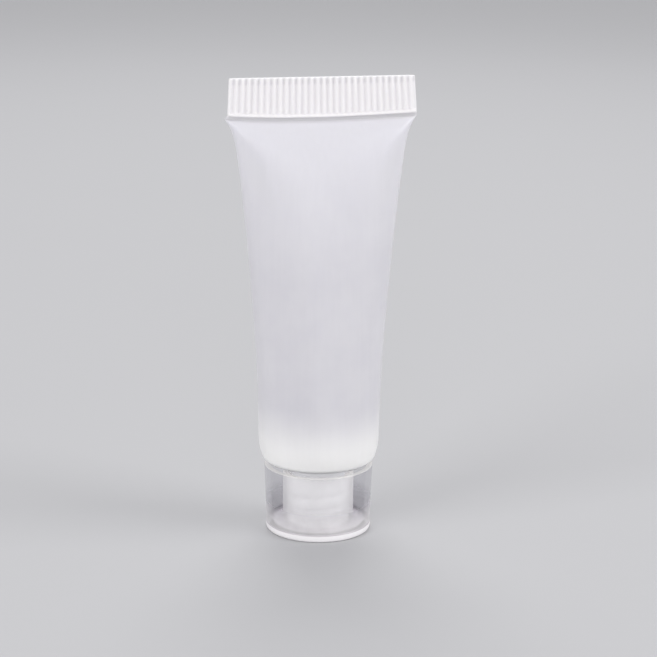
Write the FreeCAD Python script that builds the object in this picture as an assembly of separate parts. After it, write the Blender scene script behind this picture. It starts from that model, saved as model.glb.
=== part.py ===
import FreeCAD, Part
import math
import os

# Travel squeeze tube standing on its screw cap.
# Millimetres, +Z up, +X along the flat seal, origin at the middle of the cap's underside.

# Sleeve: an extruded thin-walled pipe, pressed flat and sealed at its top end
sleeve_diameter = 19.0
sleeve_wall = 0.45
sleeve_length = 50.46
turn_in_angle = 40.0
early_flare_share = 0.772
flare_power = 1.587
late_flare_reach = 1.63
pillow_fullness = 8.0
pillow_reach = 2.5

# Shoulder corner: the wall bends in gently, then turns tightly under
gentle_bend_radius = 9.0
gentle_bend_angle = 20.0
tight_bend_radius = 1.5

# Seal: both walls pressed into one band between ribbed jaws
seal_height = 6.3
seal_taper = 0.2
seal_trim = 0.25
rib_count = 30
rib_height = 0.2
rib_crest_share = 0.35
rib_slope_share = 0.2
bead_height = 0.4
bead_margin = 0.05
bead_edge = 0.12
groove_height = 0.4

# Head: a moulded shoulder and neck, welded into the sleeve's lower end
shoulder_slope = 10.0
head_skirt_wall = 0.75
head_skirt_height = 1.0
head_skirt_edge = 0.2
weld_gap = 0.05
collar_height = 1.2
collar_diameter = 9.7
neck_diameter = 8.4
neck_bore = 5.8
neck_length = 7.95
neck_edge = 0.3

# Screw cap: one moulding with an outer wall, an inner skirt, an end plate and a plug
cap_height = 10.6
cap_rim_diameter = 17.2
cap_foot_diameter = 16.42
cap_wall = 0.95
cap_plate = 1.1
cap_rim_edge = 0.15
plate_lip = 0.09
plate_edge = 0.45
skirt_outer_diameter = 11.2
skirt_bore = 9.9
skirt_recess = 1.2
seat_gap = 0.1
plug_wall = 0.75
plug_depth = 1.3
plug_edge = 0.25
plug_clearance = 0.05
gate_dimple_diameter = 3.0
gate_dimple_depth = 0.3

# How finely the sleeve's sections are drawn
section_sides = 40
pipe_sections_above = 13
pipe_crowding = 2.2
hollow_crowding = 1.9
halvings = 40

# Heights and radii that follow from the sizes above
skirt_top = cap_height - skirt_recess
collar_foot = skirt_top + seat_gap
shoulder_foot = collar_foot + collar_height
neck_end = shoulder_foot - neck_length
sleeve_radius = sleeve_diameter / 2
collar_radius = collar_diameter / 2
bore_radius = neck_bore / 2
slope = math.radians(shoulder_slope)
cone_angle = 90 - shoulder_slope
bend_angle = math.radians(gentle_bend_angle)
gentle_centre_radius = sleeve_radius - gentle_bend_radius
tight_centre_radius = gentle_centre_radius + (gentle_bend_radius - tight_bend_radius) * math.cos(bend_angle)
corner_foot_radius = tight_centre_radius + tight_bend_radius * math.sin(slope)
corner_foot = shoulder_foot + (corner_foot_radius - collar_radius) * math.tan(slope)
tight_centre_height = corner_foot + tight_bend_radius * math.cos(slope)
corner_top = tight_centre_height + (gentle_bend_radius - tight_bend_radius) * math.sin(bend_angle)
seal_foot = corner_top + sleeve_length
total_height = seal_foot + seal_height


def point(x, z, y=0.0):
    return FreeCAD.Vector(x, y, z)


def bevelled(corners):
    """The points of an outline whose corners are (x, z) or (x, z, how far along each side they are cut)."""
    points = []
    for i, (x, z, *cut) in enumerate(corners):
        corner = point(x, z)
        if not cut:
            points.append(corner)
            continue
        for neighbour in (corners[i - 1], corners[(i + 1) % len(corners)]):
            along = point(*neighbour[:2]) - corner
            along.normalize()
            points.append(corner + along * cut[0])
    return points


def turned(points):
    """The solid that a closed outline sweeps round the Z axis."""
    face = Part.Face(Part.makePolygon(points + points[:1]))
    return face.revolve(FreeCAD.Vector(0, 0, 0), FreeCAD.Vector(0, 0, 1), 360)


def section_outline(half_width, half_depth, fullness):
    """(x, y) round one section of the sleeve: an ellipse at fullness 2, flatter-sided above it."""
    outline = []
    for i in range(section_sides):
        angle = 2 * math.pi * i / section_sides
        across = math.cos(angle)
        depth = math.sqrt(max(0.0, 1 - abs(across) ** fullness))
        outline.append((half_width * across, math.copysign(half_depth * depth, math.sin(angle))))
    return outline


def girth(half_width, half_depth, fullness):
    """Length once round a section."""
    outline = section_outline(half_width, half_depth, fullness)
    return sum(math.dist(outline[i], outline[i - 1]) for i in range(section_sides))


def solve(measure, wanted, low, high):
    """The value between low and high at which a rising measure reaches the wanted one."""
    for _ in range(halvings):
        middle = (low + high) / 2
        if measure(middle) < wanted:
            low = middle
        else:
            high = middle
    return (low + high) / 2


# The pipe keeps its girth where it is flattened, measured along the middle of its wall
half_wall = sleeve_wall / 2
pipe_girth = girth(sleeve_radius - half_wall, sleeve_radius - half_wall, 2)
flat_half_width = half_wall + solve(
    lambda width: girth(width, half_wall, pillow_fullness), pipe_girth, sleeve_radius, sleeve_diameter
)
band_foot_half = flat_half_width - seal_trim
band_top_half = band_foot_half - seal_taper


def sleeve_section(share):
    """Half width, half depth and fullness at a share of the way from the shoulder to the seal."""
    to_seal = (1 - share) * sleeve_length
    late_flare = (1 - early_flare_share) * math.exp(-to_seal / late_flare_reach)
    flare = early_flare_share * share ** flare_power + late_flare
    half_width = sleeve_radius + (flat_half_width - sleeve_radius) * flare
    fullness = 2 + (pillow_fullness - 2) * math.exp(-to_seal / pillow_reach)
    half_depth = half_wall + solve(
        lambda depth: girth(half_width - half_wall, depth, fullness), pipe_girth, 0, sleeve_radius
    )
    return half_width, half_depth, fullness


def hollow_section(share):
    """The same, one wall further in. Where the wall leans, it is thicker along the section."""
    step = 0.001
    here = sleeve_section(share)
    nearby = sleeve_section(share + step)
    inner = []
    for size, next_size in zip(here[:2], nearby[:2]):
        lean = (next_size - size) / (step * sleeve_length)
        inner.append(size - sleeve_wall * math.hypot(1, lean))
    return inner[0], inner[1], here[2]


def corner_place(depth, angle_degrees):
    """Radius and height on the shoulder corner, some depth under its face, down from its top tangent."""
    angle = math.radians(angle_degrees)
    centre_radius, centre_height, bend = gentle_centre_radius, corner_top, gentle_bend_radius
    if angle > bend_angle:
        centre_radius, centre_height, bend = tight_centre_radius, tight_centre_height, tight_bend_radius
    reach = bend - depth
    return centre_radius + reach * math.cos(angle), centre_height - reach * math.sin(angle)


def stacked(sections):
    """A solid through polygon sections, each given as a height and an outline."""
    wires = []
    for height, outline in sections:
        points = [point(x, height, y) for x, y in outline]
        wires.append(Part.makePolygon(points + points[:1]))
    return Part.makeLoft(wires, True, True)


def pipe_sections(depth, law, top_share, crowding):
    """Sections from the turned-in lower end, round the corner and up, closer together at the seal."""
    sections = []
    for angle in (turn_in_angle, gentle_bend_angle, gentle_bend_angle / 2):
        radius, height = corner_place(depth, angle)
        sections.append((height, section_outline(radius, radius, 2)))
    for i in range(pipe_sections_above):
        share = top_share * (1 - (1 - i / (pipe_sections_above - 1)) ** crowding)
        sections.append((corner_top + share * sleeve_length, section_outline(*law(share))))
    return sections


def make_sleeve():
    # Pipe and its hollow, which ends where the two walls meet under the seal
    pipe = stacked(pipe_sections(0, sleeve_section, 1, pipe_crowding))
    hollow_end = 1 - 2 * sleeve_wall / sleeve_length
    hollow = pipe_sections(sleeve_wall, hollow_section, hollow_end, hollow_crowding)

    # The open lower end is cut square to the wall, so the hollow widens past it
    outer_radius, outer_height = corner_place(0, turn_in_angle)
    inner_radius, inner_height = corner_place(sleeve_wall, turn_in_angle)
    past_radius = 2 * outer_radius - inner_radius
    past_height = 2 * outer_height - inner_height
    mouth = (past_height, section_outline(past_radius, past_radius, 2))
    pipe = pipe.cut(stacked([mouth] + hollow))
    return pipe.fuse(make_seal())


def waved_side(depth):
    """One face of the ribbed film seen from above: flat crests and valleys with sloping sides."""
    pitch = 2 * band_foot_half / rib_count
    slope_run = rib_slope_share * pitch
    swing = rib_height / 2
    points = []
    for i in range(rib_count):
        start = i * pitch - band_foot_half
        crest_start = start + slope_run / 2
        crest_end = crest_start + rib_crest_share * pitch
        points += [
            point(crest_start, 0, depth + swing),
            point(crest_end, 0, depth + swing),
            point(crest_end + slope_run, 0, depth - swing),
            point(start + pitch - slope_run / 2, 0, depth - swing),
        ]
    return [point(-band_foot_half, 0, depth)] + points + [point(band_foot_half, 0, depth)]


def make_seal():
    """The pressed band: a plain groove, a smooth bead, then the film waved between the jaws."""
    bead_foot = seal_foot + groove_height
    rib_foot = bead_foot + bead_height

    # Groove: the flattened pipe itself, carried straight up from the end of the pillow
    flat_end = section_outline(flat_half_width, sleeve_wall, pillow_fullness)
    groove = stacked([(seal_foot, flat_end), (bead_foot, flat_end)])

    # Bead: a bar with eased edges across both faces
    bead_half = sleeve_wall + rib_height / 2 + bead_margin
    bar = [
        (-bead_half, bead_foot + bead_edge),
        (bead_edge - bead_half, bead_foot),
        (bead_half - bead_edge, bead_foot),
        (bead_half, bead_foot + bead_edge),
        (bead_half, rib_foot),
        (-bead_half, rib_foot),
    ]
    bar_points = [FreeCAD.Vector(-band_foot_half, y, z) for y, z in bar]
    bar_face = Part.Face(Part.makePolygon(bar_points + bar_points[:1]))
    bead = bar_face.extrude(FreeCAD.Vector(2 * band_foot_half, 0, 0))

    # Ribs: the film swings from side to side, so that both of its faces are ribbed
    outline = waved_side(-sleeve_wall) + waved_side(sleeve_wall)[::-1]
    film = Part.Face(Part.makePolygon(outline + outline[:1]))
    film = film.extrude(FreeCAD.Vector(0, 0, total_height - rib_foot))
    film.translate(FreeCAD.Vector(0, 0, rib_foot))

    # The band narrows a little towards its top
    sides = [
        point(-band_foot_half, rib_foot, -sleeve_radius),
        point(band_foot_half, rib_foot, -sleeve_radius),
        point(band_top_half, total_height, -sleeve_radius),
        point(-band_top_half, total_height, -sleeve_radius),
    ]
    window = Part.Face(Part.makePolygon(sides + sides[:1])).extrude(FreeCAD.Vector(0, sleeve_diameter, 0))
    return groove.fuse([bead, film.common(window)])


def corner_run(depth, angles):
    """Points along the shoulder corner at one depth and these angles."""
    return [point(*corner_place(depth, angle)) for angle in angles]


def make_head():
    """Shoulder and neck as one turned outline, from the neck's end outwards, up and back inside."""
    neck_radius = neck_diameter / 2
    weld_depth = sleeve_wall + weld_gap
    inside_depth = weld_depth + head_skirt_wall
    step_angle = turn_in_angle + math.degrees(weld_gap / tight_bend_radius)
    bends = [gentle_bend_angle, gentle_bend_angle / 2, 0]
    skirt_end = corner_top + head_skirt_height
    neck = bevelled(
        [
            (bore_radius, neck_end),
            (neck_radius, neck_end, neck_edge),
            (neck_radius, collar_foot),
            (collar_radius, collar_foot),
            (collar_radius, shoulder_foot),
        ]
    )
    shoulder = corner_run(0, [cone_angle, (cone_angle + step_angle) / 2, step_angle])
    weld = corner_run(weld_depth, [step_angle] + bends)
    skirt = [
        point(weld[-1].x, skirt_end - head_skirt_edge),
        point(weld[-1].x - head_skirt_edge, skirt_end),
        point(sleeve_radius - inside_depth, skirt_end),
    ]
    inside = corner_run(inside_depth, bends[::-1] + [cone_angle])
    floor_at_bore = inside[-1].z - (inside[-1].x - bore_radius) * math.tan(slope)
    return turned(neck + shoulder + weld + skirt + inside + [point(bore_radius, floor_at_bore)])


def make_cap():
    """The cap as one turned outline, standing on its end plate."""
    foot_radius = cap_foot_diameter / 2
    rim_radius = cap_rim_diameter / 2
    lip_radius = foot_radius + plate_lip
    skirt_outer = skirt_outer_diameter / 2
    skirt_inner = skirt_bore / 2
    plug_outer = bore_radius - plug_clearance
    plug_inner = plug_outer - plug_wall
    plug_top = neck_end + plug_depth
    dimple_radius = gate_dimple_diameter / 2
    corners = [
        (0, gate_dimple_depth),
        (dimple_radius, gate_dimple_depth),
        (dimple_radius, 0),
        (lip_radius, 0, plate_edge),
        (lip_radius, cap_plate),
        (foot_radius, cap_plate + plate_lip),
        (rim_radius, cap_height, cap_rim_edge),
        (rim_radius - cap_wall, cap_height, cap_rim_edge),
        (foot_radius - cap_wall, cap_plate),
        (skirt_outer, cap_plate),
        (skirt_outer, skirt_top),
        (skirt_inner, skirt_top),
        (skirt_inner, cap_plate),
        (plug_outer, cap_plate),
        (plug_outer, plug_top, plug_edge),
        (plug_inner, plug_top),
        (plug_inner, cap_plate),
        (0, cap_plate),
    ]
    return turned(bevelled(corners))


os.makedirs("parts", exist_ok=True)
pieces = {"screw_cap": make_cap(), "tube_head": make_head(), "tube_sleeve": make_sleeve()}
for name, shape in pieces.items():
    shape.exportStep("parts/" + name + ".step")
    print(name, round(shape.Volume, 1), "mm3", "valid" if shape.isValid() else "not valid")
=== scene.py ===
import bpy
import math
import numpy as np
from mathutils import Matrix, Vector, noise


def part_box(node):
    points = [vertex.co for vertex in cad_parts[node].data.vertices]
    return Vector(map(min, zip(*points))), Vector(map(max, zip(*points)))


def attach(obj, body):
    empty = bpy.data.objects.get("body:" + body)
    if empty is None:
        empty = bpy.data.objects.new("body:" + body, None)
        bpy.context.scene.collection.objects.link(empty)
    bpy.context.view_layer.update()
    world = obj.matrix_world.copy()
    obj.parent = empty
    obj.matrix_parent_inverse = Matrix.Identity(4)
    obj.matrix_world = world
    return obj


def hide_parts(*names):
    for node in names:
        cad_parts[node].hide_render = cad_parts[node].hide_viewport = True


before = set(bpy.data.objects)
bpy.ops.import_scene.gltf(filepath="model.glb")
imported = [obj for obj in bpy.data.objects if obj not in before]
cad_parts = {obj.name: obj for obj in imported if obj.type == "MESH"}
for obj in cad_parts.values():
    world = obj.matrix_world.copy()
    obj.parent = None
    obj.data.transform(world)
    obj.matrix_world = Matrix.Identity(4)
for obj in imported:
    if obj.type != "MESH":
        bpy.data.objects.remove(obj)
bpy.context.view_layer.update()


# Screw cap. One moulding in natural polypropylene: an outer wall, a threaded inner skirt, an end
# plate and a plug ring that closes the orifice. It screws onto the neck by hand, and the tube
# stands on its end plate.
mm = 0.001
cap_top_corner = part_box("screw_cap")[1]
cap_rim_radius = cap_top_corner.x
cap_height = cap_top_corner.z
cap_foot_radius = 8.21 * mm
cap_wall = 0.95 * mm
rim_edge = 0.16 * mm
plate_thickness = 1.1 * mm
plate_edge = 0.5 * mm
plate_corner = 0.3 * mm
plate_lip = 0.09 * mm
lip_edge = 0.08 * mm
lip_corner = 0.06 * mm
skirt_radius = 5.6 * mm
skirt_bore_radius = 4.95 * mm
skirt_recess = 1.2 * mm
skirt_top = cap_height - skirt_recess
skirt_edge = 0.15 * mm
skirt_foot_corner = 0.25 * mm
skirt_bore_corner = 0.2 * mm
plug_radius = 2.85 * mm
plug_wall = 0.75 * mm
plug_top = 4.05 * mm
plug_lead_in = 0.25 * mm
plug_inner_edge = 0.1 * mm
plug_corner = 0.15 * mm
gate_dimple_radius = 1.5 * mm
gate_dimple_depth = 0.3 * mm
gate_dimple_edge = 0.08 * mm
gate_dimple_corner = 0.1 * mm
turned_sides = 144
nearly_nothing = 0.0001 * mm

thread_pitch = 2.0 * mm
thread_turns = 2.2
thread_run_out_turn = 0.12
thread_flank = 0.28 * mm
thread_row = 0.13 * mm
cap_thread_start = 2.6 * mm
cap_thread_depth = 0.23 * mm
cap_thread_half_width = 0.5 * mm
plain_bore_end = 0.3 * mm

wall_hazes = (0.84, 0.84, 0.84), (1.0, 1.0, 1.0)
# Painted shade in the wall's looks: a shadow line just above the plate's lip, at 0.2 mm, and high
# up a dark lilac grey haze that stands in for dark surroundings seen through the clear wall. The
# milky foot is the plastic's own.
wall_looks = [                              # mm above the end plate, colour, cover
    (0.0, (0.78, 0.76, 0.78), 0.95),
    (0.2, (0.74, 0.72, 0.74), 0.80),
    (0.5, (0.86, 0.84, 0.85), 0.68),
    (1.5, (0.80, 0.78, 0.80), 0.65),
    (3.0, (0.62, 0.60, 0.64), 0.45),
    (4.8, (0.33, 0.315, 0.39), 0.20),
]
# Painted shade: the inside of the wall is a darker lilac grey as well.
wall_inside_colours = (0.50, 0.49, 0.55), (0.56, 0.55, 0.61)
wall_inside_cover = 0.03
skirt_colours = (0.96, 0.945, 0.92), (0.98, 0.965, 0.94)
skirt_cover = 0.6
plate_colours = (0.91, 0.89, 0.90), (0.94, 0.92, 0.93)
plate_edge_tone = (0.97, 0.97, 0.97)
plate_top_tone = (0.55, 0.53, 0.55)
plate_tone_change = 0.1 * mm
light_let_in = (0.97, 0.97, 0.98)


def smooth_step(share):
    """A share from 0 to 1 that starts and ends gently."""
    return share * share * (3 - 2 * share)


def eased(corners, steps=4):
    """An outline of (radius, height) points. A third number rounds a corner that far each way."""
    points = []
    for i, (radius, height, *ease) in enumerate(corners):
        corner = np.array([radius, height])
        if not ease:
            points.append(tuple(corner))
            continue
        before = np.array(corners[i - 1][:2]) - corner
        after = np.array(corners[(i + 1) % len(corners)][:2]) - corner
        start = corner + before / np.linalg.norm(before) * ease[0]
        end = corner + after / np.linalg.norm(after) * ease[0]
        for t in np.linspace(0, 1, steps + 1):
            points.append(tuple((1 - t) ** 2 * start + 2 * t * (1 - t) * corner + t ** 2 * end))
    return points


def thread_ridge(angle, height, start, half_width, depth):
    """How far a screw thread stands out at an angle and a height. Both its ends run out gently."""
    turn = angle / (2 * math.pi)
    lap = np.round((height - start) / thread_pitch - turn)
    lap = np.clip(lap, 0, math.ceil(thread_turns) - 1)
    along = turn + lap
    off_centre = abs(height - start - thread_pitch * along)
    lead_in = np.clip(along / thread_run_out_turn, 0, 1)
    lead_out = np.clip((thread_turns - along) / thread_run_out_turn, 0, 1)
    profile = smooth_step(np.clip((half_width - off_centre) / thread_flank, 0, 1))
    return depth * profile * lead_in * lead_out


def new_piece(name, corners, faces, finishes, sharp_degrees=40.0):
    """A piece from its points and faces, smooth but for its sharp edges."""
    mesh = bpy.data.meshes.new(name)
    mesh.from_pydata([tuple(c) for c in corners], [], faces)
    mesh.validate()
    mesh.update()
    mesh.polygons.foreach_set("use_smooth", [True] * len(mesh.polygons))
    mesh.set_sharp_from_angle(angle=math.radians(sharp_degrees))
    for finish in finishes:
        mesh.materials.append(finish.material)
    piece = bpy.data.objects.new(name, mesh)
    bpy.context.scene.collection.objects.link(piece)
    return piece


def turned_piece(name, outline, closed, thread, finishes):
    """A piece turned about the Z axis. The thread stands on the wall of one radius."""
    thread_radius, outwards, start, half_width, depth = thread
    corners, rings = [], []
    angles = np.arange(turned_sides) * 2 * math.pi / turned_sides
    for radius, height in outline:
        if radius < nearly_nothing:
            rings.append([len(corners)] * turned_sides)
            corners.append((0.0, 0.0, height))
            continue
        swelled = np.full(turned_sides, radius)
        if abs(radius - thread_radius) < nearly_nothing:
            swelled += outwards * thread_ridge(angles, height, start, half_width, depth)
        rings.append(list(range(len(corners), len(corners) + turned_sides)))
        corners += zip(swelled * np.cos(angles), swelled * np.sin(angles), [height] * turned_sides)
    pairs = list(zip(rings, rings[1:]))
    if closed:
        pairs.append((rings[-1], rings[0]))
    faces = []
    for here, there in pairs:
        for k in range(turned_sides):
            after = (k + 1) % turned_sides
            face = (here[k], here[after], there[after], there[k])
            faces.append(tuple(dict.fromkeys(face)))
    piece = new_piece(name, corners, faces, finishes)
    weighted = piece.modifiers.new("even_shading", "WEIGHTED_NORMAL")
    weighted.keep_sharp = True
    return piece


def full_colour(tone):
    """A colour with its alpha, from a colour or from one number for a grey."""
    return (*tone, 1) if isinstance(tone, tuple) else (tone, tone, tone, 1)


class Finish:
    """A finish in the making: its material, its shader and the piece's own coordinates."""

    mix_colour, mix_other, mix_result = 6, 7, 2      # the colour sockets of a mix node

    def __init__(self, name):
        self.material = bpy.data.materials.new(name)
        self.material.use_nodes = True
        self.tree = self.material.node_tree
        self.shader = self.tree.nodes["Principled BSDF"]
        self.place = self.node("ShaderNodeTexCoord").outputs["Object"]

    def node(self, kind, **settings):
        """A new node with its settings."""
        made = self.tree.nodes.new(kind)
        for setting, value in settings.items():
            setattr(made, setting, value)
        return made

    def feed(self, socket, look):
        """Give a socket another node's output, or a number or colour of its own."""
        if isinstance(look, bpy.types.NodeSocket):
            self.tree.links.new(look, socket)
        else:
            socket.default_value = look

    def shade(self, looks):
        """Give the shader its looks by the names of its sockets."""
        for socket, look in looks.items():
            self.feed(self.shader.inputs[socket], look)

    def cloudy(self, size, detail=2.0, stretch=(1, 1, 1)):
        """A soft cloudy pattern from 0 to 1, with patches of about this size."""
        spread = self.node("ShaderNodeMapping")
        self.feed(spread.inputs["Vector"], self.place)
        self.feed(spread.inputs["Scale"], [1 / (size * s) for s in stretch])
        clouds = self.node("ShaderNodeTexNoise")
        self.feed(clouds.inputs["Vector"], spread.outputs["Vector"])
        self.feed(clouds.inputs["Scale"], 1.0)
        self.feed(clouds.inputs["Detail"], detail)
        return clouds.outputs["Fac"]

    def ramp(self, amount, stops):
        """A colour or grey that follows an amount, from (amount, tone) stops, lowest first."""
        ramp = self.node("ShaderNodeValToRGB")
        places = ramp.color_ramp.elements
        for at, _ in stops[1:-1]:
            places.new(at)
        for place, (at, tone) in zip(places, stops):
            place.position = at
            place.color = full_colour(tone)
        self.feed(ramp.inputs["Fac"], amount)
        return ramp.outputs["Color"]

    def share(self, amount, start, end, way="SMOOTHSTEP"):
        """How far an amount has come from its start to its end, from 0 to 1."""
        reach = self.node("ShaderNodeMapRange", interpolation_type=way)
        self.feed(reach.inputs["Value"], amount)
        self.feed(reach.inputs["From Min"], start)
        self.feed(reach.inputs["From Max"], end)
        return reach.outputs["Result"]

    def height(self):
        """The height of a point of the piece."""
        axes = self.node("ShaderNodeSeparateXYZ")
        self.feed(axes.inputs["Vector"], self.place)
        return axes.outputs["Z"]

    def by_height(self, stops):
        """A colour or grey that changes with height, from (height, tone) stops, lowest first."""
        low, high = stops[0][0], stops[-1][0]
        shares = [((height - low) / (high - low), tone) for height, tone in stops]
        return self.ramp(self.share(self.height(), low, high, "LINEAR"), shares)

    def blended(self, amount, colour, other, way="MIX"):
        """A colour that turns into another one as the amount goes from 0 to 1."""
        mix = self.node("ShaderNodeMix", data_type="RGBA", blend_type=way)
        self.feed(mix.inputs["Factor"], amount)
        self.feed(mix.inputs[self.mix_colour], colour)
        self.feed(mix.inputs[self.mix_other], other)
        return mix.outputs[self.mix_result]

    def multiplied(self, colour, other):
        """Two colours multiplied, so white leaves the other as it is."""
        return self.blended(1.0, colour, other, "MULTIPLY")

    def relief(self, pattern, strength, depth):
        """A fine relief of the skin, from a pattern of highs and lows."""
        bump = self.node("ShaderNodeBump")
        self.feed(bump.inputs["Height"], pattern)
        self.feed(bump.inputs["Strength"], strength)
        self.feed(bump.inputs["Distance"], depth)
        return bump.outputs["Normal"]


def cap_plastic(name, colours, cover, tones=None):
    """Natural polypropylene with a soft haze and a fine mould grain. Cover is how much one face
    hides of what is behind it. Cover and tones may be stops that follow the height."""
    finish = Finish(name)
    haze = finish.cloudy(size=3.0 * mm)
    grain = finish.cloudy(size=0.35 * mm, detail=3.0)
    colour = finish.ramp(haze, [(0.3, colours[0]), (0.7, colours[1])])
    if tones:
        colour = finish.multiplied(finish.by_height(tones), colour)
    finish.shade({
        "Base Color": colour,
        "Roughness": finish.ramp(haze, [(0, 0.26), (1, 0.36)]),
        "Normal": finish.relief(grain, strength=0.25, depth=0.02 * mm),
        "IOR": 1.49,
        "Alpha": finish.by_height(cover) if isinstance(cover, list) else cover,
    })
    return finish


def lit_through(finish):
    """Lets the light through to what is inside, as clear plastic does."""
    ray = finish.node("ShaderNodeLightPath")
    way_in = finish.node("ShaderNodeBsdfTransparent")
    either = finish.node("ShaderNodeMixShader")
    finish.feed(way_in.inputs["Color"], full_colour(light_let_in))
    finish.feed(either.inputs["Fac"], ray.outputs["Is Camera Ray"])
    finish.feed(either.inputs[1], way_in.outputs["BSDF"])
    finish.feed(either.inputs[2], finish.shader.outputs["BSDF"])
    surface = finish.tree.nodes["Material Output"].inputs["Surface"]
    finish.feed(surface, either.outputs["Shader"])
    return finish


def clear_wall_plastic():
    """The thin outer wall: clear, with a haze painted dark lilac grey high up as painted shade,
    and milky where it runs into the end plate, with a painted shadow line just above the lip.
    """
    tones = [(plate_thickness + above * mm, tone) for above, tone, _ in wall_looks]
    covers = [(plate_thickness + above * mm, cover) for above, _, cover in wall_looks]
    finish = cap_plastic("clear_cap_wall", wall_hazes, covers, tones)
    finish.shade({"Sheen Weight": 0.3, "Sheen Roughness": 0.3})
    return lit_through(finish)


def white_plate_plastic():
    """The end plate: white at its edge, and greyer on top, where less light comes back."""
    edge_height = plate_thickness - plate_tone_change
    tones = [(edge_height, plate_edge_tone), (plate_thickness, plate_top_tone)]
    return cap_plastic("white_cap_plate", plate_colours, cover=1.0, tones=tones)


bore_rows = np.arange(skirt_top - plain_bore_end, plate_thickness + plain_bore_end, -thread_row)
cap_outline = eased([
    (0, gate_dimple_depth),
    (gate_dimple_radius, gate_dimple_depth, gate_dimple_corner),
    (gate_dimple_radius, 0, gate_dimple_edge),
    (cap_foot_radius + plate_lip, 0, plate_edge),
    (cap_foot_radius + plate_lip, plate_thickness, lip_edge),
    (cap_foot_radius, plate_thickness + plate_lip, lip_corner),
    (cap_rim_radius, cap_height, rim_edge),
    (cap_rim_radius - cap_wall, cap_height, rim_edge),
    (cap_foot_radius - cap_wall, plate_thickness, plate_corner),
    (skirt_radius, plate_thickness, skirt_foot_corner),
    (skirt_radius, skirt_top, skirt_edge),
    (skirt_bore_radius, skirt_top, skirt_edge),
    *((skirt_bore_radius, row) for row in bore_rows),
    (skirt_bore_radius, plate_thickness, skirt_bore_corner),
    (plug_radius, plate_thickness, plug_corner),
    (plug_radius, plug_top, plug_lead_in),
    (plug_radius - plug_wall, plug_top, plug_inner_edge),
    (plug_radius - plug_wall, plate_thickness, plug_corner),
    (0, plate_thickness),
])
cap_thread = (skirt_bore_radius, -1, cap_thread_start, cap_thread_half_width, cap_thread_depth)
cap = turned_piece("cap", cap_outline, closed=False, thread=cap_thread, finishes=[
    clear_wall_plastic(),
    lit_through(cap_plastic("milky_cap_skirt", skirt_colours, skirt_cover)),
    white_plate_plastic(),
    lit_through(cap_plastic("clear_wall_inside", wall_inside_colours, wall_inside_cover)),
])
skirt_and_rim, plate_and_plug, wall_inside = 1, 2, 3      # the finishes after the outer wall's
for face in cap.data.polygons:
    from_axis = math.hypot(face.center.x, face.center.y)
    taper = (cap_rim_radius - cap_foot_radius) * face.center.z / cap_height
    on_outside = from_axis > cap_foot_radius - cap_wall / 2 + taper
    plate_reach = plate_thickness + (plate_lip if on_outside else plate_corner)
    if face.center.z < plate_reach or from_axis < skirt_bore_radius - 2 * cap_thread_depth:
        face.material_index = plate_and_plug
    elif from_axis < skirt_radius + rim_edge or face.center.z > cap_height - rim_edge / 4:
        face.material_index = skirt_and_rim
    elif not on_outside:
        face.material_index = wall_inside
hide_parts("screw_cap")
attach(cap, "cap")


# Tube head. One moulding in milky polyethylene: a sloping shoulder and a threaded neck with the
# orifice through it. Its short skirt is welded inside the sleeve's lower end, and its collar
# stands over the cap's inner skirt.
sleeve_radius = 9.5 * mm
sleeve_wall = 0.45 * mm
shoulder_slope = math.radians(10)
gentle_bend_radius = 9.0 * mm
gentle_bend_angle = 20.0
tight_bend_radius = 1.5 * mm
turn_in_angle = 40.0
corner_step = 5.0
weld_gap = 0.05 * mm
head_wall = 0.75 * mm
head_skirt_height = 1.0 * mm
head_skirt_lead_in = 0.2 * mm
head_skirt_edge = 0.1 * mm
collar_radius = 4.85 * mm
collar_height = 1.2 * mm
collar_clearance = 0.1 * mm
collar_corner = 0.08 * mm
collar_edge = 0.1 * mm
shoulder_corner = 0.12 * mm
neck_radius = 4.2 * mm
neck_lead_in = 0.35 * mm
bore_radius = 2.9 * mm
bore_edge = 0.12 * mm
bore_top_edge = (0.15 * mm, 0.12 * mm)
neck_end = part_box("tube_head")[0].z
neck_thread_start = cap_thread_start + thread_pitch / 2
neck_thread_depth = 0.45 * mm
neck_thread_half_width = 0.55 * mm
plain_neck_end = 0.5 * mm
plain_neck_top = 0.3 * mm
head_colours = (0.94, 0.925, 0.905), (0.96, 0.945, 0.925)

collar_foot = skirt_top + collar_clearance
shoulder_foot = collar_foot + collar_height
bend_angle = math.radians(gentle_bend_angle)
gentle_centre = sleeve_radius - gentle_bend_radius
tight_centre = gentle_centre + (gentle_bend_radius - tight_bend_radius) * math.cos(bend_angle)
corner_foot_radius = tight_centre + tight_bend_radius * math.sin(shoulder_slope)
corner_foot = shoulder_foot + (corner_foot_radius - collar_radius) * math.tan(shoulder_slope)
tight_centre_height = corner_foot + tight_bend_radius * math.cos(shoulder_slope)
bend_rise = (gentle_bend_radius - tight_bend_radius) * math.sin(bend_angle)
corner_top = tight_centre_height + bend_rise
cone_angle = 90 - math.degrees(shoulder_slope)
step_angle = turn_in_angle + math.degrees(weld_gap / tight_bend_radius)
weld_depth = sleeve_wall + weld_gap
inside_depth = weld_depth + head_wall
head_skirt_end = corner_top + head_skirt_height


def corner_point(depth, degrees):
    """Radius and height on the shoulder's round corner, this deep in the wall, from its top."""
    centre, height, bend = gentle_centre, corner_top, gentle_bend_radius
    if degrees > gentle_bend_angle:
        centre, height, bend = tight_centre, tight_centre_height, tight_bend_radius
    angle = math.radians(degrees)
    reach = bend - depth
    return centre + reach * math.cos(angle), height - reach * math.sin(angle)


def corner_arc(depth, first, last):
    """Points round the shoulder's corner from one angle to another."""
    steps = max(2, round(abs(last - first) / corner_step) + 1)
    return [corner_point(depth, angle) for angle in np.linspace(first, last, steps)]


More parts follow.
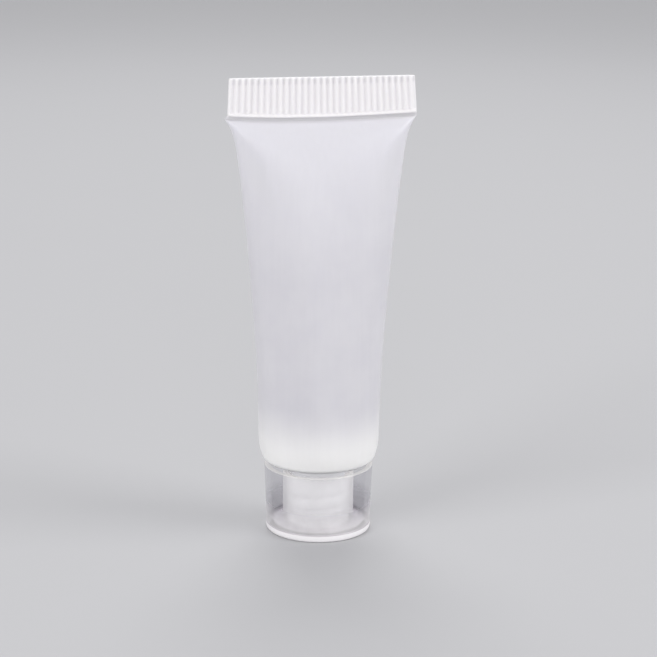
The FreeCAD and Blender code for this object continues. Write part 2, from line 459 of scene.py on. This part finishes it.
def milky_head_plastic():
    """Natural polyethylene, moulded: milky white and soft-looking, with a satin skin."""
    finish = Finish("milky_head_plastic")
    clouds = finish.cloudy(size=2.5 * mm)
    grain = finish.cloudy(size=0.3 * mm, detail=3.0)
    finish.shade({
        "Base Color": finish.ramp(clouds, [(0, head_colours[0]), (1, head_colours[1])]),
        "Roughness": finish.ramp(clouds, [(0, 0.34), (1, 0.46)]),
        "Normal": finish.relief(grain, strength=0.3, depth=0.02 * mm),
        "Subsurface Weight": 1.0,
        "Subsurface Radius": (1.0, 1.0, 1.0),
        "Subsurface Scale": 3.0 * mm,
        "IOR": 1.5,
    })
    return finish


neck_rows = np.arange(neck_end + plain_neck_end, collar_foot - plain_neck_top, thread_row)
neck_outline = eased([
    (bore_radius, collar_foot),
    (bore_radius, neck_end, bore_edge),
    (neck_radius, neck_end, neck_lead_in),
    *((neck_radius, row) for row in neck_rows),
    (neck_radius, collar_foot, collar_corner),
    (collar_radius, collar_foot, collar_edge),
    (collar_radius, shoulder_foot, shoulder_corner),
    corner_point(0, cone_angle),
])
head_skirt_outline = eased([
    corner_point(weld_depth, 0),
    (sleeve_radius - weld_depth, head_skirt_end, head_skirt_lead_in),
    (sleeve_radius - inside_depth, head_skirt_end, head_skirt_edge),
    corner_point(inside_depth, 0),
])[1:-1]
inside_arc = corner_arc(inside_depth, 0, cone_angle)
inside_foot_radius, inside_foot = inside_arc[-1]
bore_top = inside_foot - (inside_foot_radius - bore_radius) * math.tan(shoulder_slope)
bore_top_outline = [
    (bore_radius + bore_top_edge[0], bore_top),
    (bore_radius, bore_top - bore_top_edge[1]),
]
head_outline = (
    neck_outline
    + corner_arc(0, cone_angle, step_angle)[1:]
    + corner_arc(weld_depth, step_angle, 0)
    + head_skirt_outline
    + inside_arc
    + bore_top_outline
)
neck_thread = (neck_radius, 1, neck_thread_start, neck_thread_half_width, neck_thread_depth)
head = turned_piece(
    "head", head_outline, closed=True, thread=neck_thread, finishes=[milky_head_plastic()]
)
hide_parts("tube_head")
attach(head, "tube")


# Sleeve. An extruded pipe of soft frosted polyethylene, turned in and welded over the head below.
# Its top end is pressed flat, so its girth stays the pipe's while it widens. Ribbed jaws seal the
# end and leave a groove, a bead and a band of fine ribs.
sleeve_top_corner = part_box("tube_sleeve")[1]
flat_half_width = sleeve_top_corner.x
total_height = sleeve_top_corner.z
seal_height = 6.3 * mm
seal_foot = total_height - seal_height
sleeve_length = seal_foot - corner_top
early_flare_share = 0.772
flare_power = 1.587
late_flare_reach = 1.63 * mm
pillow_fullness = 8.0
pillow_reach = 2.5 * mm
halvings = 30

# Painted shade, carried by each row: the groove, the bead's foot, the wall just under the seal and
# the valleys between the ribs are painted darker, most of all in the ribs' top millimetre.
groove_height = 0.52 * mm
groove_rows = (0.06 * mm, 0.8), (0.16 * mm, 1.0), (0.40 * mm, 1.0)      # height and shade
under_seal_shade = 0.7
under_seal_reach = 0.2 * mm
bead_height = 0.4 * mm
bead_stand_out = 0.15 * mm
bead_roundness = 0.6
bead_foot_shade = 0.35
band_step_in = 0.25 * mm
band_taper = 0.3 * mm
band_foot_half = flat_half_width - band_step_in
band_top_half = band_foot_half - band_taper
band_shares = (0.02, 0.045, 0.08, 0.2, 0.35, 0.5, 0.65, 0.78, 0.86, 0.92, 0.96)
rib_count = 30
rib_height = 0.2 * mm
rib_squareness = 1.1
rib_rise_share = 0.05
rib_shade = 0.15
rib_top_shade = 0.5
rib_top_reach = 1.0 * mm
film_fullness = 30
top_edge = 0.12 * mm
top_edge_cut = 0.6

seal_sag = 0.44 * mm
sag_to_left = 0.35
sag_reach = 6.0 * mm
seal_lift = 0.14 * mm
seal_lean = 0.25 * mm
band_offset = 0.22 * mm
band_skew = 0.1 * mm

fold_inset = 0.6 * mm
fold_start = 1.2 * mm
fold_length = 7.5 * mm
fold_width = 0.35 * mm
fold_spread = 0.16
fold_height = 0.20 * mm
hollow_inset = 1.6 * mm
hollow_slant = 0.28
hollow_width = 1.3 * mm
hollow_below_seal = 8 * mm
hollow_length = 6 * mm
hollow_depth = 0.18 * mm
pucker_start = 0.8 * mm
pucker_fullness = 12

uneven_depth = 0.035 * mm
uneven_width = 6 * mm
uneven_height = 11 * mm
even_over_head = 6 * mm
even_under_seal = 4 * mm

columns = 8 * rib_count
even_steps_reach = 22 * mm
body_rows = 60
body_row_crowding = 1.9
inside_rows = 40
inside_row_crowding = 1.7
turned_in_steps = 9
bead_steps = 9
top_edge_steps = 4
slope_step = 0.01 * mm
no_shade = np.zeros(columns + 1)

frosted_colours = (0.63, 0.62, 0.66), (0.66, 0.65, 0.683)
# Painted light: the sleeve is painted lighter low down over the head, where its round corner faces
# down into shade, and lighter up towards the seal, where more light falls from above. The seal
# band is lighter again.
painted_light_over_head_colour = (0.93, 0.92, 0.91)
painted_light_over_head_reach = (corner_top + 7 * mm, corner_top - 3.5 * mm)
painted_light_near_seal_colour = (0.715, 0.705, 0.748)
painted_light_near_seal_reach = (seal_foot - 26 * mm, seal_foot)
seal_colour = (0.825, 0.807, 0.814)
seal_reach = (seal_foot - 0.4 * mm, seal_foot + 0.3 * mm)
# The grey of the painted shade.
painted_shade_colour = (0.57, 0.56, 0.58)


def across(share_to_seal):
    """Places of the columns from -1 to 1: even angles low down, and even steps at the ribs."""
    k = np.arange(columns + 1) / columns
    return (1 - share_to_seal) * -np.cos(math.pi * k) + share_to_seal * (2 * k - 1)


def depth_across(place, fullness):
    """Depth of a section at a place across it: an ellipse at fullness 2, flatter above that."""
    return np.sqrt(np.maximum(0.0, 1 - np.abs(place) ** fullness))


def girth(half_width, half_depth, fullness):
    """Length once round a section."""
    place = across(0.0)
    depth = half_depth * depth_across(place, fullness)
    return 2 * np.hypot(np.diff(half_width * place), np.diff(depth)).sum()


def sleeve_section(to_seal):
    """Half width, half depth and fullness of the sleeve at a distance below the seal."""
    share = 1 - to_seal / sleeve_length
    late_flare = (1 - early_flare_share) * math.exp(-to_seal / late_flare_reach)
    flare = early_flare_share * share ** flare_power + late_flare
    half_width = sleeve_radius + (flat_half_width - sleeve_radius) * flare
    fullness = 2 + (pillow_fullness - 2) * math.exp(-to_seal / pillow_reach)
    half_wall = sleeve_wall / 2
    pipe_girth = 2 * math.pi * (sleeve_radius - half_wall)
    low, high = 0.0, sleeve_radius
    for _ in range(halvings):
        middle = (low + high) / 2
        if girth(half_width - half_wall, middle, fullness) < pipe_girth:
            low = middle
        else:
            high = middle
    return half_width, half_wall + low, fullness


def lean(x):
    """How far the seal is lower than at its right end, because it was pressed on askew."""
    return seal_lean * (1 - x / flat_half_width) / 2


def sag(x):
    """How far the seal's foot hangs below a straight line: most a little left of the middle."""
    place = np.clip(x / flat_half_width, -1, 1)
    return seal_sag * (1 - place ** 2) * (1 - sag_to_left * place) - seal_lift + lean(x)


def pucker(x, below_seal):
    """Soft folds that run in from both ends of the seal, and the hollow beside each of them."""
    inwards = flat_half_width - fold_inset - np.abs(x)
    along = (inwards + below_seal) / math.sqrt(2)
    aside = (below_seal - inwards) / math.sqrt(2)
    fold = np.exp(-(aside / (fold_width + fold_spread * along)) ** 2)
    fold = fold * np.clip(along / fold_start, 0, 1) * np.exp(-(along / fold_length) ** 2)
    off_hollow = inwards - hollow_inset - hollow_slant * below_seal
    hollow = np.exp(-(off_hollow / hollow_width) ** 2)
    hollow = hollow * np.exp(-((below_seal - hollow_below_seal) / hollow_length) ** 2)
    return fold_height * fold - hollow_depth * hollow


def soft_unevenness(x, y, z):
    """A hand-squeezed wall is never quite even. This only goes inwards."""
    spot = Vector((x / uneven_width, y / uneven_width, z / uneven_height))
    return -uneven_depth * (1 + noise.noise(spot))


# A row of the sleeve is its places across, its front and back depths, its heights and its painted
# shades.


def turned_in_rows(depth, angles):
    """Rows of the turned-in lower end, this deep in the wall."""
    rows = []
    place = across(0.0)
    for degrees in angles:
        radius, height = corner_point(depth, degrees)
        y = radius * depth_across(place, 2)
        rows.append((radius * place, -y, y, np.full(columns + 1, height), no_shade))
    return rows


def wall_places(to_seal, half_width, half_depth, fullness):
    """Places, widths, depths and heights across the wall at a distance below the seal."""
    place = across(smooth_step(np.clip(1 - to_seal / even_steps_reach, 0, 1)))
    x = half_width * place
    height = seal_foot - to_seal - sag(x) * math.exp(-(to_seal / sag_reach) ** 2)
    return place, x, half_depth * depth_across(place, fullness), height


def seal_row(above_foot, half_width, half_thickness, ribs=0.0, straight=0.0, shade=0.0):
    """A row of the seal. Ribs and straight say how far its ribs and its level are reached."""
    place = across(1.0)
    edge = depth_across(place, film_fullness)
    wave = np.sin(np.pi * rib_count * (place + 1))
    wave = np.tanh(rib_squareness * wave) / math.tanh(rib_squareness)
    x = half_width * place
    body = half_thickness * edge
    swing = wave * ribs * rib_height / 2 * edge
    height = seal_foot + above_foot - sag(x) * (1 - straight) - lean(x) * straight
    # Painted shade in the valleys between the ribs, darker near the band's top.
    painted_shade = rib_top_shade if above_foot > seal_height - rib_top_reach else rib_shade
    shades = np.clip(shade + ribs * (0.5 - wave / 2) * painted_shade, 0, 1)
    x = x + band_offset * min(1.0, above_foot / groove_height) ** 2
    x = x - band_skew * above_foot / seal_height
    return x, -(body + swing), body - swing, height, shades


def outside_rows():
    """Rows of the outside, from the turned-in lower end up to the top of the seal."""
    rows = turned_in_rows(0, np.linspace(turn_in_angle, 0, turned_in_steps)[:-1])
    for i in range(body_rows + 1):
        to_seal = sleeve_length * (1 - i / body_rows) ** body_row_crowding
        place, x, depth, height = wall_places(to_seal, *sleeve_section(to_seal))
        bulge = pucker(x, to_seal) * depth_across(place, pucker_fullness)
        depth = depth + bulge * np.clip(to_seal / pucker_start, 0, 1)
        # Painted shade on the wall just under the seal's groove.
        shade = under_seal_shade * math.exp(-(to_seal / under_seal_reach) ** 2)
        rows.append((x, -depth, depth, height, no_shade + shade))
    for above, shade in groove_rows:
        narrowed = (band_foot_half - flat_half_width) * (above / groove_height) ** 2
        rows.append(seal_row(above, flat_half_width + narrowed, sleeve_wall, shade=shade))
    ribbed = sleeve_wall + rib_height / 2
    for turn in np.linspace(0, math.pi, bead_steps):
        above = groove_height + bead_height * (1 - math.cos(turn)) / 2
        bulge = (rib_height / 2 + bead_stand_out) * math.sin(turn) ** bead_roundness
        thick = sleeve_wall + bulge
        if turn > math.pi / 2:
            thick = max(thick, ribbed)
        shade = bead_foot_shade if turn == 0 else 0.0
        rows.append(seal_row(above, band_foot_half, thick, shade=shade))
    rib_foot = groove_height + bead_height
    for share in band_shares:
        above = rib_foot + (seal_height - rib_foot) * share
        half = band_foot_half + (band_top_half - band_foot_half) * share
        risen = min(1.0, share / rib_rise_share)
        rows.append(seal_row(above, half, sleeve_wall, ribs=risen, straight=share))
    for turn in np.linspace(0, math.pi / 2, top_edge_steps):
        above = seal_height - top_edge * (1 - math.sin(turn))
        cut = top_edge * (1 - math.cos(turn)) * top_edge_cut
        half, thick = band_top_half - cut, sleeve_wall - cut
        rows.append(seal_row(above, half, thick, ribs=1.0, straight=1.0))
    return rows


def hollow_rows():
    """Rows of the inside, from the slit under the seal down to the open lower end."""
    rows = []
    slit = 2 * sleeve_wall
    for i in range(inside_rows + 1):
        to_seal = slit + (sleeve_length - slit) * (i / inside_rows) ** inside_row_crowding
        here, above = sleeve_section(to_seal), sleeve_section(to_seal - slope_step)
        half_width, half_depth = (
            size - sleeve_wall * math.hypot(1, (next_size - size) / slope_step)
            for size, next_size in zip(here[:2], above[:2])
        )
        _, x, depth, height = wall_places(to_seal, half_width, half_depth, here[2])
        rows.append((x, -depth, depth, height, no_shade))
    return rows + turned_in_rows(sleeve_wall, np.linspace(0, turn_in_angle, turned_in_steps)[1:])


def frosted_sleeve_plastic():
    """Soft polyethylene, extruded: frosted, a little blue, with faint streaks along the pipe. It
    is painted lighter over the head and towards the seal, and its ribs' valleys, groove and the
    wall
    under the seal are painted darker: painted light and painted shade.
    """
    finish = Finish("frosted_sleeve_plastic")
    height = finish.height()
    clouds = finish.cloudy(size=5 * mm)
    streaks = finish.cloudy(size=0.7 * mm, detail=1.0, stretch=(1, 1, 30))
    colour = finish.ramp(clouds, [(0.3, frosted_colours[0]), (0.7, frosted_colours[1])])
    # Painted light: lighter over the head and towards the seal, and lighter again on the seal
    # band.
    for reach, other in (
        (painted_light_over_head_reach, painted_light_over_head_colour),
        (painted_light_near_seal_reach, painted_light_near_seal_colour),
        (seal_reach, seal_colour),
    ):
        colour = finish.blended(finish.share(height, *reach), colour, full_colour(other))
    colour = finish.multiplied(colour, finish.ramp(streaks, [(0.35, 0.99), (0.65, 1.0)]))
    # Painted shade: each corner's painted shade blends in a darker grey.
    painted_shade = finish.node(
        "ShaderNodeAttribute", attribute_type="GEOMETRY", attribute_name="painted_shade"
    )
    finish.shade({
        "Base Color": finish.blended(painted_shade.outputs["Fac"], colour, full_colour(painted_shade_colour)),
        "Roughness": finish.ramp(clouds, [(0, 0.36), (1, 0.48)]),
        "Normal": finish.relief(streaks, strength=0.35, depth=0.015 * mm),
        "Subsurface Weight": 0.6,
        "Subsurface Radius": (1.0, 1.0, 1.05),
        "Subsurface Scale": 0.8 * mm,
        "Sheen Weight": 0.25,
        "Sheen Roughness": 0.5,
        "IOR": 1.5,
    })
    return finish


def pressed_sleeve():
    """The sleeve's mesh: a ring for each row, joined outside and inside into one wall."""
    corners, shades, faces = [], [], []
    around = 2 * columns

    def add_ring(row, uneven):
        x, front, back, height, shade = row
        ring = []
        for k in list(range(columns + 1)) + list(range(columns - 1, 0, -1)):
            y = front[k] if len(ring) <= columns else back[k]
            if k in (0, columns):
                y = 0.0
            corner = Vector((x[k], y, height[k]))
            if uneven:
                outwards = Vector((x[k], y, 0)).normalized()
                corner += outwards * soft_unevenness(*corner) * uneven
            ring.append(len(corners))
            corners.append(corner)
            shades.append(float(shade[k]))
        return ring

    def join(rings):
        for here, there in zip(rings, rings[1:]):
            for k in range(around):
                after = (k + 1) % around
                faces.append((here[k], here[after], there[after], there[k]))

    def close(ring, upwards):
        for k in range(columns):
            front, next_front = ring[k], ring[k + 1]
            back, next_back = ring[(around - k) % around], ring[around - k - 1]
            face = tuple(dict.fromkeys((front, next_front, next_back, back)))
            faces.append(face if upwards else face[::-1])

    outside = []
    for row in outside_rows():
        level = float(np.mean(row[3]))
        from_head = np.clip((level - corner_top) / even_over_head, 0, 1)
        from_seal = np.clip((seal_foot - level) / even_under_seal, 0, 1)
        outside.append(add_ring(row, from_head * from_seal))
    inside = [add_ring(row, 0.0) for row in hollow_rows()]
    join(outside)
    close(outside[-1], True)
    close(inside[0], False)
    join(inside + outside[:1])
    finishes = [frosted_sleeve_plastic()]
    piece = new_piece("sleeve", corners, faces, finishes, sharp_degrees=50.0)
    # Each corner's painted shade, for the finish.
    painted_shade = piece.data.attributes.new("painted_shade", "FLOAT", "POINT")
    painted_shade.data.foreach_set("value", shades)
    return piece


sleeve = pressed_sleeve()
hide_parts("tube_sleeve")
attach(sleeve, "tube")


# Floor. A plain painted sheet, pale grey around the tube, which takes its soft shadow. It lies
# loose and runs back out of sight, where it is painted white: painted light, so that it fades
# into the pale room though the lamps don't reach it there.
floor_half = 3.0
floor_colour = (0.50, 0.50, 0.51)
painted_light_far_floor_colour = (0.97, 0.97, 0.97)
fleck_size = 0.05
fleck_tone = 0.99
white_from, white_at = 0.6, 1.5


def pale_floor_paint():
    """Matt paint with faint flecks, painted white far away from the tube as painted light."""
    finish = Finish("pale_floor_paint")
    fleck_colour = tuple(c * fleck_tone for c in floor_colour)
    near = finish.ramp(finish.cloudy(fleck_size), [(0, fleck_colour), (1, floor_colour)])
    away = finish.node("ShaderNodeVectorMath", operation="LENGTH")
    finish.feed(away.inputs[0], finish.place)
    far = finish.share(away.outputs["Value"], white_from, white_at)
    finish.shade({
        "Base Color": finish.blended(far, near, full_colour(painted_light_far_floor_colour)),
        "Roughness": 0.7,
    })
    return finish


floor_corners = [
    (x * floor_half, y * floor_half, 0) for x, y in ((-1, -1), (1, -1), (1, 1), (-1, 1))
]
floor = new_piece("floor", floor_corners, [(0, 1, 2, 3)], [pale_floor_paint()])


# Light. A pale room with four square soft lamps: one at each side, which gives both
# edges of the tube a thin bright line, a weak one in front that reaches into the clear cap, and
# one above and behind.
room_colour = (0.97, 0.97, 1.0)
room_strength = 0.55
tube_middle = (0, 0, total_height / 2)
cap_rim = (0, 0, cap_height)
lamps = [                                   # name, place, what it faces, width, watts
    ("left_lamp", (-0.57, -0.37, 0.34), tube_middle, 0.40, 2.15),
    ("right_lamp", (0.64, -0.26, 0.34), tube_middle, 0.40, 2.6),
    ("front_lamp", (-0.10, -0.78, 0.24), cap_rim, 0.40, 1.1),
    ("back_lamp", (0.05, 0.50, 0.60), tube_middle, 0.50, 2.2),
]

room = bpy.data.worlds.new("pale_room")
bpy.context.scene.world = room
room.use_nodes = True
room_light = room.node_tree.nodes["Background"]
room_light.inputs["Color"].default_value = full_colour(room_colour)
room_light.inputs["Strength"].default_value = room_strength

for name, place, faced, width, watts in lamps:
    lamp = bpy.data.lights.new(name, "AREA")
    lamp.shape = "SQUARE"
    lamp.size = width
    lamp.energy = watts
    holder = bpy.data.objects.new(name, lamp)
    bpy.context.scene.collection.objects.link(holder)
    holder.location = place
    towards = Vector(faced) - Vector(place)
    holder.rotation_euler = towards.to_track_quat("-Z", "Y").to_euler()


# Camera. It has a long lens and stands about 33 cm away, a little to the left of the tube. It
# looks down by 15 degrees, and is turned and rolled a little.
view_distance = 310.6 * mm
view_height = 114.6 * mm
view_side_degrees = -8.0
view_down_degrees = 14.8
view_turn_degrees = -0.26
view_roll_degrees = 0.54
view_lens = 112.75
view_film_width = 36.0
nearest_view = 0.01

camera_data = bpy.data.cameras.new("camera")
camera_data.lens = view_lens
camera_data.sensor_width = view_film_width
camera_data.clip_start = nearest_view
camera = bpy.data.objects.new("camera", camera_data)
bpy.context.scene.collection.objects.link(camera)
side = math.radians(view_side_degrees)
camera.location = (view_distance * math.sin(side), -view_distance * math.cos(side), view_height)
heading = Matrix.Rotation(side + math.radians(view_turn_degrees), 4, "Z")
tilt = Matrix.Rotation(math.radians(90 - view_down_degrees), 4, "X")
roll = Matrix.Rotation(math.radians(view_roll_degrees), 4, "Z")
camera.rotation_euler = (heading @ tilt @ roll).to_euler()
bpy.context.scene.camera = camera
bpy.context.scene.view_settings.view_transform = "Standard"
